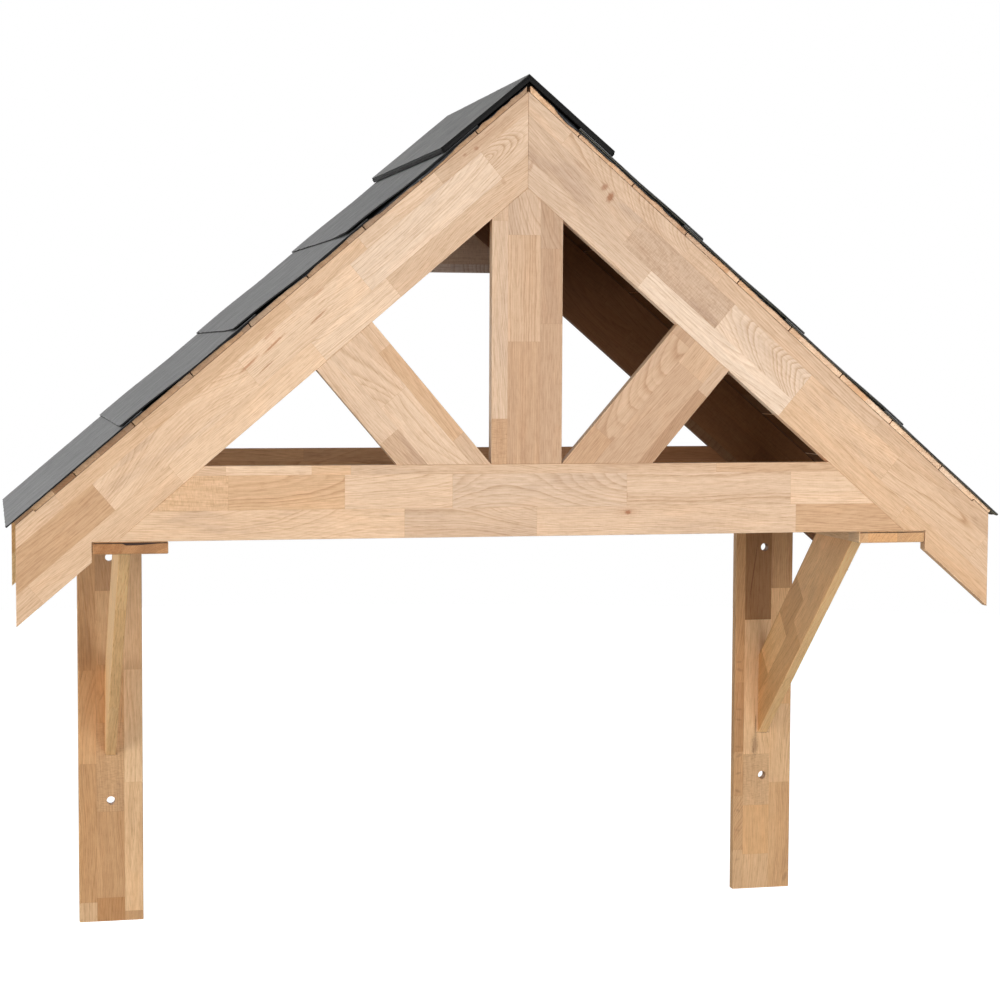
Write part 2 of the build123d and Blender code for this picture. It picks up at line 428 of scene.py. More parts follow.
def lay_staves(g, place, rows):
    """(stave, distance from its middle, the row's middle, mask of the glue lines)."""
    u, v, w = place
    # Fingers interlock through the thickness, so each butt is straight on the wide faces
    comb = g.math("PINGPONG", g.minus(THICKNESS / 2, g.math("ABSOLUTE", w)), FINGER_PITCH)
    cut = g.times_plus(comb, FINGER_LENGTH / FINGER_PITCH, u)
    stave = middle = line = None
    low = 0.0
    seams = 0.0
    for index, (top, staves) in enumerate(rows):
        ends = [s[0] for s in staves[:-1]]
        row_stave, row_line = steps(g, cut, ends, [s[1:] for s in staves], BUTT_LINE)
        centre = (low + top) / 2
        if index == 0:
            stave, middle, line = row_stave, centre, row_line
        else:
            past = g.math("GREATER_THAN", v, low)
            stave = g.mix(past, stave, row_stave, kind="VECTOR")
            middle = g.mix(past, middle, centre + index * 0.001, kind="FLOAT")
            line = g.mix(past, line, row_line, kind="FLOAT")
            seams = g.math("ADD", seams, g.math("COMPARE", v, low, SEAM_LINE))
        low = top
    line = g.times(g.math("MAXIMUM", line, seams), 0.5)
    return stave, g.minus(v, middle), middle, line


def shadow_under_boarding(g, colour, place, through, height):
    """Painted shadow line of this height where the boarding sits on the board's outer edge."""
    u, v, _ = place
    outer_edge = g.times_plus(g.math("GREATER_THAN", u, NIB_FOOT), NIB_HEIGHT, WIDTH)
    painted_shadow = g.math("GREATER_THAN", v, g.minus(outer_edge, height))
    painted_shadow = g.times(painted_shadow, g.span(facing(g, through), 0.3, 0.7))
    return g.tint(painted_shadow, colour, (0.16, 0.11, 0.08, 1))


def shadow_under_truss(g, colour, place, end, height):
    """Painted shadow wedge of this height at the top of an arm's end grain, where the truss sits on it."""
    _, v, w = place
    wedge = g.times(g.span(v, 46.0, 54.0), g.span(v, 116.0, 60.0))
    reach = g.times_plus(wedge, -height, THICKNESS / 2 - 3.0)
    painted_shadow = g.times(g.math("GREATER_THAN", w, reach), end)
    return g.tint(painted_shadow, colour, (0.07, 0.05, 0.04, 1))


def laminate(
    node, origin, along, across, rows, seed, marks=(), shade=None, stain=KNOT,
    outer_shadow_line=0.0, top_shadow_wedge=0.0, under=0.0,
):
    """Laminated oak on one board. rows is [(upper edge, [(end, tone, hue, figure), ...]), ...].

    outer_shadow_line and top_shadow_wedge are the heights of the painted shadow lines where the boarding and
    the truss sit on the board, in millimetres. under lightens the lower edge as painted light.
    """
    along, across = Vector(along).normalized(), Vector(across).normalized()
    through = along.cross(across)
    material, g, shader = new_material(f"oak_{node}")
    place = board_place(g, origin, along, across, through)
    u, v, w = place
    stave, from_middle, middle, line = lay_staves(g, place, rows)
    to_edge = g.minus(WIDTH / 2, g.math("ABSOLUTE", g.minus(v, WIDTH / 2)))
    edge = g.span(to_edge, 2.2, 0.4)
    end = g.span(facing(g, along), 0.75, 0.95)
    seeded = g.times_plus(middle, 0.37, seed)
    colour = oak_shader(g, shader, (u, from_middle, w), stave, seeded, line, edge, end)
    colour = apply_marks(g, colour, u, v, marks, stain)
    if shade:
        colour = g.tint(1.0, colour, (*shade, 1))
    # Painted light: under lightens the board's lower edge, as if lit from below.
    if under:
        lower = g.times(g.span(facing(g, across), 0.7, 0.95), g.math("LESS_THAN", v, 5.0))
        colour = g.tint(lower, colour, (under, under, under, 1))
    if outer_shadow_line:
        colour = shadow_under_boarding(g, colour, place, through, outer_shadow_line)
    if top_shadow_wedge:
        colour = shadow_under_truss(g, colour, place, end, top_shadow_wedge)
    g.plug(shader.inputs["Base Color"], colour)
    finish_node(node, material)


def random_rows(seed, length, tone):
    """Stave rows for a board that the photograph doesn't show clearly."""
    draw = random.Random(seed)
    tops = [draw.choice((16.0, 30.0, 45.0))]
    while tops[-1] + ROW_PITCH < WIDTH - NARROWEST:
        tops.append(tops[-1] + ROW_PITCH)
    tops.append(WIDTH)
    rows = []
    for top in tops:
        staves, at = [], draw.uniform(60, 320)
        while True:
            drawn = tone + draw.uniform(-TONE_SPREAD, TONE_SPREAD)
            staves.append((at, drawn, draw.random(), draw.random()))
            if at > length:
                break
            at += draw.uniform(190, 430)
        rows.append((top, staves))
    return rows


# Rows of staves that the photograph shows: (upper edge, [(far end, tone, hue, figure), ...]).
# Tones and hues follow measured colours of the photograph's staves, retyped in steps of
# 0.05. Ends, edges and figures, and all of the rear tie beam, are given one by one.
TIE_ROWS = [
    (48.5, [
        (467, 0.90, 0.70, 0.45), (690, 0.70, 0.40, 0.60), (1145, 0.80, 0.50, 0.30), (1344, 0.60, 0.95, 0.35),
    ]),
    (104.5, [
        (179, 0.80, 1.00, 0.10), (368, 0.70, 1.00, 0.70), (547, 0.85, 0.55, 0.40), (845, 0.70, 0.30, 0.65),
        (1135, 0.75, 0.45, 0.60), (1344, 0.90, 0.60, 0.30),
    ]),
    (120, [
        (175, 0.80, 0.70, 0.35), (314, 1.00, 0.60, 0.35), (378, 0.80, 0.95, 0.30), (1002, 0.70, 0.55, 0.40),
        (1344, 0.60, 0.75, 0.35),
    ]),
]
# The rear tie beam's tones fall from left to right as painted shade, darker towards its right end.
REAR_TIE_ROWS = [
    (40, [
        (300, 0.90, 0.60, 0.40), (640, 0.80, 0.50, 0.36), (930, 0.62, 0.60, 0.50), (1344, 0.35, 0.70, 0.40),
    ]),
    (95, [
        (180, 0.95, 0.50, 0.36), (520, 0.86, 0.62, 0.60), (800, 0.70, 0.55, 0.30), (1344, 0.40, 0.66, 0.40),
    ]),
    (120, [
        (390, 1.00, 0.60, 0.40), (730, 0.84, 0.50, 0.36), (1010, 0.56, 0.60, 0.36), (1344, 0.34, 0.70, 0.40),
    ]),
]
RIGHT_RAFTER_ROWS = [
    (37, [
        (350, 0.70, 0.20, 0.40), (680, 0.95, 0.05, 0.55), (960, 0.75, 0.80, 0.45), (1250, 0.75, 0.85, 0.35),
    ]),
    (91, [
        (284, 0.65, 0.25, 0.40), (497, 0.50, 0.20, 0.10), (680, 0.85, 0.15, 0.95), (894, 0.80, 0.70, 0.30),
        (1110, 0.80, 0.65, 0.85), (1250, 0.80, 0.60, 0.50),
    ]),
    (120, [
        (98, 0.75, 0.35, 0.35), (375, 0.70, 0.35, 0.80), (450, 0.65, 0.45, 0.15), (828, 0.70, 0.45, 0.40),
        (1250, 0.70, 0.60, 0.35),
    ]),
]
LEFT_RAFTER_ROWS = [
    (39, [
        (380, 0.70, 0.50, 0.40), (541, 1.00, 0.40, 0.70), (844, 1.00, 0.65, 0.35), (1135, 0.90, 0.70, 0.35),
        (1250, 0.85, 0.70, 0.40),
    ]),
    (94.5, [
        (126, 0.80, 0.35, 0.90), (411, 0.95, 0.20, 0.65), (650, 0.95, 0.50, 0.35), (954, 1.00, 0.60, 0.45),
        (1250, 0.60, 1.00, 0.35),
    ]),
    (120, [
        (208, 0.65, 0.45, 0.30), (373, 0.85, 0.40, 0.40), (532, 0.85, 0.65, 0.40), (830, 0.75, 0.80, 0.40),
        (1010, 0.85, 0.80, 0.35), (1250, 0.85, 0.65, 0.35),
    ]),
]
KING_ROWS = [
    (27, [(75, 0.50, 0.95, 0.10), (400, 0.70, 0.35, 0.55), (460, 0.60, 0.45, 0.20)]),
    (82, [(202, 0.45, 0.70, 0.35), (377, 0.65, 0.60, 0.70), (460, 0.60, 0.25, 0.60)]),
    (120, [(232, 0.45, 0.55, 0.40), (355, 0.40, 0.45, 0.55), (460, 0.40, 0.30, 0.65)]),
]
LEFT_STRUT_ROWS = [
    (25, [(71, 0.60, 0.50, 0.30), (260, 0.65, 0.90, 0.35), (460, 0.80, 0.60, 0.40)]),
    (81, [(190, 0.85, 0.45, 0.55), (460, 0.80, 0.45, 0.40)]),
    (120, [(146, 0.60, 0.55, 0.40), (460, 0.80, 0.40, 0.40)]),
]
RIGHT_STRUT_ROWS = [
    (42, [(84, 0.45, 0.80, 0.30), (290, 0.55, 0.55, 0.75), (460, 0.40, 0.50, 0.30)]),
    (99, [(260, 0.50, 0.55, 0.45), (460, 0.60, 0.65, 0.35)]),
    (120, [(247, 0.30, 0.60, 0.60), (460, 0.55, 0.40, 0.40)]),
]
LEFT_PLATE_ROWS = [
    (33, [(37, 0.75, 0.30, 0.35), (302, 0.55, 0.85, 0.40), (480, 0.65, 0.80, 0.35), (800, 0.55, 0.75, 0.50)]),
    (85, [
        (45, 0.40, 1.00, 0.40), (210, 0.55, 0.70, 0.35), (380, 0.60, 0.60, 0.10), (490, 0.70, 0.80, 0.40),
        (630, 0.65, 0.70, 0.45), (800, 0.30, 0.35, 0.40),
    ]),
    (120, [
        (18, 0.50, 0.60, 0.30), (265, 0.95, 0.45, 0.50), (480, 1.00, 0.30, 0.35), (800, 0.75, 0.35, 0.40),
    ]),
]
RIGHT_PLATE_ROWS = [
    (20, [
        (80, 0.70, 0.40, 0.60), (190, 0.60, 0.60, 0.80), (280, 0.55, 0.75, 0.70), (420, 0.40, 0.90, 0.60),
        (800, 0.55, 0.95, 0.50),
    ]),
    (75, [
        (70, 0.75, 0.45, 0.40), (170, 0.75, 0.90, 0.35), (274, 0.65, 0.45, 0.10), (547, 0.90, 0.55, 0.40),
        (800, 0.05, 0.20, 0.35),
    ]),
    (120, [
        (215, 0.70, 0.70, 0.35), (375, 0.90, 0.50, 0.55), (610, 0.95, 0.90, 0.40), (800, 0.50, 0.80, 0.70),
    ]),
]
# One mark, at 318.6 along and 61 across, is painted shade: a dark line under the brace's foot.
RIGHT_PLATE_MARKS = [
    (292, 44, 26, 8, 0, 0.7), (330, 45, 30, 3.0, 0, 0.75), (282, 40, 8, 3, 0, 0.4),
    (650, 38, 80, 1.5, 8, 0.7), (272, 11, 9, 4, 60, 0.35), (290, 9, 3, 8, 8, 0.3),
    (345, 9, 3, 8, 10, 0.35), (366, 10, 3, 8, 5, 0.3), (446, 10, 4, 8, 20, 0.35),
    (462, 9, 3, 7, 0, 0.3), (120, 9, 3, 8, 15, 0.2), (60, 10, 3, 8, -10, 0.2),
    (318.6, 61, 2.8, 15, 0, 1.0), (20, 111, 13, 5, 20, 0.45), (200, 9, 4, 8, 25, 0.4),
    (236, 10, 3, 8, -15, 0.4), (160, 10, 4, 7, 30, 0.35),
]
# One mark, at 319 along and 61 across, is painted shade: a dark line under the brace's foot.
LEFT_PLATE_MARKS = [
    (430, 44, 14, 2, 25, 0.3), (395, 80, 30, 1.6, 3, 0.35), (575, 14, 40, 2, -6, 0.25),
    (480, 8, 16, 3, 8, 0.2), (319, 61, 2.6, 15, 0, 0.9),
]
BRACE_ROWS = {
    "left": [
        (1, [(170, 0.90, 0.35, 0.40), (485, 0.80, 0.50, 0.35), (680, 1.00, 0.35, 0.30)]),
        (58, [(300, 0.90, 0.25, 0.40), (680, 0.90, 0.20, 0.35)]),
        (120, [(150, 0.85, 0.60, 0.40), (420, 0.90, 0.25, 0.35), (680, 0.85, 0.00, 0.35)]),
    ],
    "right": [
        (1, [(205, 0.90, 0.40, 0.35), (440, 0.95, 0.30, 0.10), (680, 1.00, 0.30, 0.40)]),
        (58, [(312, 0.60, 0.90, 0.40), (680, 0.75, 0.75, 0.35)]),
        (116, [
            (125, 0.50, 0.95, 0.40), (260, 0.90, 0.85, 0.30), (380, 0.50, 0.85, 0.35),
            (680, 0.85, 0.75, 0.40),
        ]),
        (120, [(300, 0.50, 0.80, 0.35), (680, 0.50, 0.80, 0.35)]),
    ],
}
TIE_MARKS = [
    (847, 38, 7, 4.5, 0, 1.0), (847, 38, 26, 9, 0, 0.32), (846, 66, 1.5, 9, 0, 0.3),
]
RIGHT_RAFTER_MARKS = [
    (199, 88, 9, 6, 80, 0.7), (217, 82, 7, 12, 10, 0.95), (150, 86, 32, 4, 0, 0.25),
    (83, 30, 4, 12, 25, 0.4),
]
LEFT_RAFTER_MARKS = [
    (590, 76, 32, 2.6, -4, 0.85), (505, 63, 24, 2.0, -3, 0.8), (480, 93, 18, 2.8, -2, 0.5),
    (585, 92, 16, 2.6, -3, 0.6), (640, 77, 26, 2.8, -4, 0.85), (625, 56, 22, 2.0, -3, 0.6),
    (485, 78, 12, 1.3, 0, 0.35), (128, 104, 6, 4, 20, 0.6), (150, 108, 5, 3, 0, 0.5),
    (105, 107, 60, 7, 0, 0.14), (60, 99, 22, 1.3, 0, 0.4), (92, 113, 18, 1.2, 0, 0.4),
    (128, 34, 5, 7, 20, 0.3),
]


def rafter_frame(side, y):
    """Origin at the lower edge below the outer apex, along the slope and square to it."""
    down, out = slope_axes(side)
    return Vector((0, y, APEX)) - out * WIDTH * MM, down, out


def dress_front_truss():
    """Front members follow the staves that show in the photograph."""
    y = FRONT + THICKNESS / 2 * MM
    origin = Vector((-TIE_HALF, y, TIE_BOTTOM))
    laminate("front_tie_beam", origin, ACROSS, UP, TIE_ROWS, 1.0, TIE_MARKS)
    origin = Vector((-WIDTH / 2 * MM, y, TIE_TOP))
    laminate("front_king_post", origin, UP, ACROSS, KING_ROWS, 2.0)
    for side, hand, rows, strut_rows, marks in (
        (-1, "left", LEFT_RAFTER_ROWS, LEFT_STRUT_ROWS, LEFT_RAFTER_MARKS),
        (1, "right", RIGHT_RAFTER_ROWS, RIGHT_STRUT_ROWS, RIGHT_RAFTER_MARKS),
    ):
        origin, down, out = rafter_frame(side, y)
        laminate(
            f"front_rafter_{hand}", origin, down, out, rows, 5.0 + side, marks, outer_shadow_line=0.9, under=1.45,
        )
        corner = Vector((side * WIDTH / 2 * MM, y, TIE_TOP))
        laminate(f"front_strut_{hand}", corner, out, down, strut_rows, 11.0 + side)


def dress_rear_truss():
    """Rear members: the tie beam shows, the others have staves drawn at random."""
    y = -THICKNESS / 2 * MM
    origin = Vector((-TIE_HALF, y, TIE_BOTTOM))
    laminate("rear_tie_beam", origin, ACROSS, UP, REAR_TIE_ROWS, 3.0, shade=RUSSET_AND_SHADE)
    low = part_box("rear_apex_gusset")[0]
    origin = Vector((low.x, y, low.z))
    laminate("rear_apex_gusset", origin, ACROSS, UP, random_rows(4, 272, 0.70), 4.0, shade=PINKISH)
    # The right rear rafter's low tone and umber tint are painted shade for the deep shadow it stands in.
    for side, hand, tone, shade in ((-1, "left", 0.75, AMBER), (1, "right", 0.45, UMBER_PAINTED_SHADE)):
        origin, down, out = rafter_frame(side, y)
        rows = random_rows(20 + side, 1200, tone)
        laminate(f"rear_rafter_{hand}", origin, down, out, rows, 8.0 + side, shade=shade, outer_shadow_line=1.2)


def dress_brackets():
    """Wall plates, arms and braces of the two gallows brackets."""
    for side, hand, plate_rows, marks, tone, wedge in (
        (-1, "left", LEFT_PLATE_ROWS, LEFT_PLATE_MARKS, 0.38, 2.8),
        (1, "right", RIGHT_PLATE_ROWS, RIGHT_PLATE_MARKS, 0.92, 0.1),
    ):
        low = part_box(f"{hand}_wall_plate")[0]
        origin = Vector((low.x, -THICKNESS / 2 * MM, low.z))
        laminate(
            f"{hand}_wall_plate", origin, UP, ACROSS, plate_rows, 14.0 + side, marks,
            shade=GOLDEN, stain=BRUISE_AND_FOOT_SHADE,
        )
        low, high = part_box(f"{hand}_bracket_arm")
        origin = Vector((low.x, high.y, (low.z + high.z) / 2))
        rows = random_rows(30 + side, 645, tone)
        laminate(
            f"{hand}_bracket_arm", origin, OUTWARDS, ACROSS, rows, 17.0 + side, shade=GOLDEN, top_shadow_wedge=wedge,
        )
        low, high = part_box(f"{hand}_bracket_brace")
        centre_x = (low.x + high.x) / 2
        foot = Vector((centre_x, high.y, low.z))
        head = Vector((centre_x, low.y, high.z))
        rake = (head - foot).normalized()
        square = Vector((0, rake.z, -rake.y))
        laminate(f"{hand}_bracket_brace", foot, rake, square, BRACE_ROWS[hand], 20.0 + side, shade=STRAW_AND_LIGHT)


# Staves of the boarding down each slope: (lower edge, tone, hue), found as for the rows above
DECK_STAVES = {
    1: [
        (58, 0.70, 0.80), (111, 0.60, 0.60), (155, 0.60, 0.60), (182, 0.70, 0.80), (232, 0.60, 0.60),
        (294, 0.45, 0.60), (335, 0.55, 0.30), (353, 0.25, 0.50), (416, 0.45, 0.10), (452, 0.50, 0.90),
        (476, 0.70, 0.55), (513, 0.65, 0.85), (570, 0.70, 0.50), (598, 0.60, 0.45), (622, 0.65, 0.60),
        (720, 0.80, 0.45), (746, 0.80, 0.60), (783, 0.60, 0.95), (842, 0.85, 0.25), (870, 0.90, 0.45),
        (918, 0.80, 0.50), (964, 0.80, 0.30), (1020, 0.90, 0.15), (1200, 0.95, 0.50),
    ],
    -1: [
        (48, 0.50, 0.40), (112, 0.65, 0.90), (135, 0.60, 0.60), (165, 0.70, 0.80), (233, 0.80, 0.90),
        (280, 0.45, 0.80), (355, 0.40, 0.05), (391, 0.60, 0.40), (450, 0.60, 0.75), (476, 0.60, 0.55),
        (495, 0.65, 0.50), (556, 0.80, 0.60), (598, 0.65, 0.10), (615, 0.40, 0.15), (670, 0.80, 0.90),
        (720, 0.55, 0.60), (750, 0.60, 0.25), (844, 0.70, 0.75), (860, 0.35, 0.20), (914, 0.30, 0.40),
        (964, 0.75, 0.70), (1008, 0.30, 0.85), (1050, 0.95, 0.85), (1200, 0.55, 0.80),
    ],
}


DECK_THICK = 9.0
DECK_BUTTS = 290.0  # from one butt to the next along a stave
BUTT_PHASE = 45.0  # the first butts lie at most DECK_BUTTS - BUTT_PHASE behind the front
PHASE_SPREAD = 311.0


def deck_oak(side):
    """Oak for the boards of one slope, whose staves run from the wall to the front."""
    material, g, shader = new_material("oak_boarding_left" if side < 0 else "oak_boarding_right")
    down, out = slope_axes(side)
    origin = Vector((0, 0, APEX)) + out * DECK_THICK / 2 * MM
    u, v, w = board_place(g, origin, OUTWARDS, down, out)
    staves = DECK_STAVES[side]
    edges = [s[0] for s in staves[:-1]]
    levels = [(s[1], s[2], (index * 0.37) % 0.6) for index, s in enumerate(staves)]
    stave, seams = steps(g, v, edges, levels, 0.15)
    # Butts are at other places in each stave, the first of them well behind the front
    order = g.node("ShaderNodeSeparateXYZ", (stave,)).outputs[2]
    phase = g.times_plus(order, PHASE_SPREAD, BUTT_PHASE)
    comb = g.math("PINGPONG", w, FINGER_PITCH)
    behind_front = g.minus(-FRONT / MM, u)
    back = g.math("ADD", g.times_plus(comb, 3.0, phase), behind_front)
    cell = g.math("FLOOR", g.math("DIVIDE", back, DECK_BUTTS))
    draw = g.node("ShaderNodeTexWhiteNoise", {"Vector": g.join(cell, order, 1.0)}, noise_dimensions="3D")
    apart = g.vector("SUBTRACT", draw.outputs["Color"], (0.5, 0.5, 0.5))
    apart = g.vector("MULTIPLY", apart, (0.30, 0.6, 0.7))
    hidden = g.math("GREATER_THAN", cell, 0.5)
    stave = g.vector("MULTIPLY_ADD", apart, g.join(hidden, hidden, hidden), stave)
    end = g.times(g.span(facing(g, OUTWARDS), 0.75, 0.95), 0.55)
    across = g.minus(g.math("MODULO", g.math("ADD", v, 20.0), 60.0), 30.0)
    colour = oak_shader(g, shader, (u, across, w), stave, 31.0 + side, seams, 0.0, end)
    underside = facing_down(g, out)
    # Other faces are a little darker on the left slope, and on the right lightened as painted light where the
    # slates shade the board ends.
    tint_and_painted_light = (0.86, 0.86, 0.84) if side < 0 else (1.28, 1.32, 1.36)
    elsewhere = g.minus(1.0, underside)
    # Painted shade: the boarding's underside is tinted dark brown.
    colour = g.tints(colour, (underside, 0.35, 0.235, 0.15), (elsewhere, *tint_and_painted_light))
    g.plug(shader.inputs["Base Color"], colour)
    return material


def dress_boarding():
    """The boards of a slope share one material, laid out down the whole slope."""
    for side, hand in ((-1, "left"), (1, "right")):
        material = deck_oak(side)
        for number in range(1, 10):
            finish_node(f"deck_board_{hand}_{number}", material)


# ---------------------------------------------------------------- slates, ridge and underlay


def riven_slate(name, side, base):
    """Matt riven composite: fine streaks down the slope, pale dusty highs and darker lows.

    side is -1 or 1 for one slope, and 0 for the ridge, where the streaks run down both wings.
    """
    material, g, shader = new_material(name)
    down, out = slope_axes(side) if side else (ACROSS, UP)
    u, v, w = board_place(g, Vector((0, 0, APEX)), down, OUTWARDS, out)
    if side == 0:
        u, w = g.math("DIVIDE", g.math("ABSOLUTE", u), cos(PITCH)), 0.0
    fine = g.noise(g.stretch((u, 0.022), (v, 0.13), (w, 0.3)), detail=5.0, roughness=0.74)
    broad = g.noise(g.stretch((u, 0.011), (v, 0.03), 0.0), detail=3.0)
    grit = g.noise(g.join(u, v, w), scale=0.9, detail=3.0, roughness=0.7)
    scratch = g.noise(g.stretch((u, 0.028), (v, 0.075), 7.0), detail=3.0, roughness=0.6)
    colour = g.mix(g.span(broad, 0.3, 0.7), scaled(base, 0.86), scaled(base, 1.12))
    colour = g.tints(
        colour,
        (g.span(fine, 0.51, 0.36), 0.63, 0.63, 0.64),
        (g.span(fine, 0.50, 0.66), 1.36, 1.35, 1.33),
        (g.span(scratch, 0.39, 0.31), 0.50, 0.50, 0.51),
        (g.span(grit, 0.60, 0.75), 0.82, 0.82, 0.83),
    )
    g.plug(shader.inputs["Base Color"], colour)
    g.plug(shader.inputs["Roughness"], g.times_plus(fine, 0.18, 0.50))
    g.bump(shader, g.times_plus(fine, 0.7, g.times(grit, 0.3)), 0.55, 0.0011)
    shader.inputs["Specular IOR Level"].default_value = 0.4
    return material


def rough_edge(name, base):
    """Cut edge or underside of the slate, with a slightly crumbly face."""
    material, g, shader = new_material(name)
    place = g.object_place()
    grit = g.noise(place, scale=420.0, detail=4.0, roughness=0.7)
    broad = g.noise(place, scale=38.0, detail=2.0)
    colour = g.mix(g.span(grit, 0.35, 0.70), scaled(base, 0.7), scaled(base, 1.5))
    colour = g.tints(colour, (g.span(broad, 0.35, 0.60), 0.8, 0.8, 0.82))
    g.plug(shader.inputs["Base Color"], colour)
    g.plug(shader.inputs["Roughness"], g.times_plus(grit, 0.25, 0.45))
    g.bump(shader, grit, 0.5, 0.0006)
    shader.inputs["Specular IOR Level"].default_value = 0.15
    return material


def membrane():
    """Black roofing membrane with a faint woven crinkle and a blue cast."""
    material, g, shader = new_material("membrane")
    place = g.object_place()
    weave = g.noise(place, scale=900.0, detail=2.0)
    crease = g.noise(place, scale=60.0, detail=3.0, distortion=0.8)
    colour = g.mix(g.span(crease, 0.35, 0.70), srgb(11, 12, 14), srgb(32, 34, 38))
    colour = g.tints(colour, (g.span(weave, 0.55, 0.70), 0.7, 0.7, 0.7))
    g.plug(shader.inputs["Base Color"], colour)
    g.plug(shader.inputs["Roughness"], g.span(crease, 0.3, 0.7, 0.32, 0.55))
    g.bump(shader, g.times_plus(crease, 0.8, g.times(weave, 0.2)), 0.6, 0.002)
    return material


SHARP_ANGLE = radians(32)  # smooth shading keeps sharper edges crisp


def make_piece(name, points, faces, materials, face_slots, node):
    """Mesh piece that replaces one CAD node. Points are in metres."""
    mesh = bpy.data.meshes.new(name)
    mesh.from_pydata(points, [], faces)
    for material in materials:
        mesh.materials.append(material)
    mesh.polygons.foreach_set("material_index", face_slots)
    mesh.polygons.foreach_set("use_smooth", [True] * len(faces))
    mesh.update()
    piece = bpy.data.objects.new(name, mesh)
    bpy.context.scene.collection.objects.link(piece)
    mesh.set_sharp_from_angle(angle=SHARP_ANGLE)
    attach(piece, "root")
    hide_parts(node)
    return piece


def section_of(node, side):
    """(head, tail, base at head) of a slate's CAD solid, along and square to the slope."""
    down, out = slope_axes(side)
    apex = Vector((0, 0, APEX))
    flat = [(p.co - apex).copy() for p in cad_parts[node].data.vertices]
    for p in flat:
        p.y = 0
    alongs = [p.dot(down) / MM for p in flat]
    rises = [p.dot(out) / MM for p in flat]
    head, tail = min(alongs), max(alongs)
    base = min(r for a, r in zip(alongs, rises) if a < head + 5)
    return head, tail, base


SLATE_THICK = 3.0
SLATE_ROWS = 132  # mesh rows from the front edge to the wall
SLATE_COLUMNS = 70  # mesh columns from head to tail
SLATE_CHAMFER = {-1: 0.9, 1: 1.6}  # height of the worn arris on each slope's front and lower edges
CHAMFER_DEPTH = 0.7
LAP_START = 238.4  # from a slate's head to the head of the slate below
BEND_REACH = 135.0  # over which a slate rises to lie on the one below


def slate_height(course, away):
    """Rise of a slate's underside above its head, bent over the head of the slate below."""
    if course == 1:
        return 0.0
    return SLATE_THICK * smooth(LAP_START - BEND_REACH, LAP_START, away)


def ragged(y, seed, depth):
    """How far the rough lower edge stands back from its longest point, in millimetres."""
    wave = noise.fractal(Vector((y / 31.0, seed, 0.3)), 0.8, 2.2, 4)
    chip = max(0.0, noise.noise(Vector((y / 13.0, seed, 5.1))) - 0.28) * 6.0
    return depth * (0.5 + 0.5 * min(max(wave, -1.0), 1.0)) + chip


def riven(along, y, seed):
    """Relief of the riven face, in millimetres, from -0.7 to 0.1."""
    long_wave = noise.fractal(Vector((along / 95.0, y / 17.0, seed)), 0.9, 2.1, 4)
    ledge = long_wave * 2.6
    step = floor(ledge) + smooth(0.7, 1.0, ledge - floor(ledge))
    fine = noise.noise(Vector((along / 28.0, y / 5.0, seed + 4.0)))
    return min(max(step * 0.16 + fine * 0.12 - 0.25, -0.7), 0.1)


def slab_faces(top, bottom, last_i, last_j):
    """(faces, material slots) of a closed slab between two grids: 0 on top, 1 round, 2 below."""
    faces, slots = [], []

    def face(slot, *corners):
        faces.append(corners)
        slots.append(slot)

    for i in range(last_i):
        for j in range(last_j):
            face(0, top[i, j], top[i + 1, j], top[i + 1, j + 1], top[i, j + 1])
            face(2, bottom[i, j], bottom[i, j + 1], bottom[i + 1, j + 1], bottom[i + 1, j])
    for i in range(last_i):
        face(1, top[i, 0], bottom[i, 0], bottom[i + 1, 0], top[i + 1, 0])
        face(1, top[i, last_j], top[i + 1, last_j], bottom[i + 1, last_j], bottom[i, last_j])
    for j in range(last_j):
        face(1, top[0, j], top[0, j + 1], bottom[0, j + 1], bottom[0, j])
        face(1, top[last_i, j], bottom[last_i, j], bottom[last_i, j + 1], top[last_i, j + 1])
    return faces, slots


def slate_course(side, hand, course, materials, lift, lift_reach, corner):
    """One course as a closed grid: riven top, plain underside, chamfered front and lower edges."""
    node = f"slate_course_{hand}_{course}"
    head, tail, base = section_of(node, side)
    seed = side * 3.1 + course * 1.7
    depth = -VERGE / MM
    inner = depth - CHAMFER_DEPTH
    rows = [depth, inner] + [inner - inner * k / SLATE_ROWS for k in range(1, SLATE_ROWS + 1)]
    # The last column but one is the arris of the lower edge
    fractions = [k / SLATE_COLUMNS for k in range(SLATE_COLUMNS)] + [None, 1.0]
    last_i, last_j = len(fractions) - 1, len(rows) - 1

    def edge_at(y):
        setback = 0.2 + ragged(y, seed, 1.4)
        from_front = depth - y
        if from_front < corner:
            setback += corner - sqrt(max(corner**2 - (corner - from_front) ** 2, 0.0))
        return tail - setback

    def floor_at(along, y):
        near = smooth(tail - 150.0, tail, along) * (1 - smooth(0.0, lift_reach, depth - y))
        return base + slate_height(course, along - head) + lift * near

    points, top, bottom = [], {}, {}
    for i, fraction in enumerate(fractions):
        for j, y in enumerate(rows):
            limit = edge_at(y)
            along = limit - CHAMFER_DEPTH if fraction is None else head + (limit - head) * fraction
            rise = floor_at(along, y)
            on_edge = i == last_i or j == 0
            relief = -SLATE_CHAMFER[side] if on_edge else riven(along, y, seed)
            for store, level in ((top, rise + SLATE_THICK + relief), (bottom, rise)):
                x, z = on_slope(side, along, level)
                store[i, j] = len(points)
                points.append((x, -y * MM, z))
    faces, slots = slab_faces(top, bottom, last_i, last_j)
    if side < 0:
        faces = [corners[::-1] for corners in faces]
    return make_piece(f"slate_{hand}_{course}", points, faces, materials, slots, node)


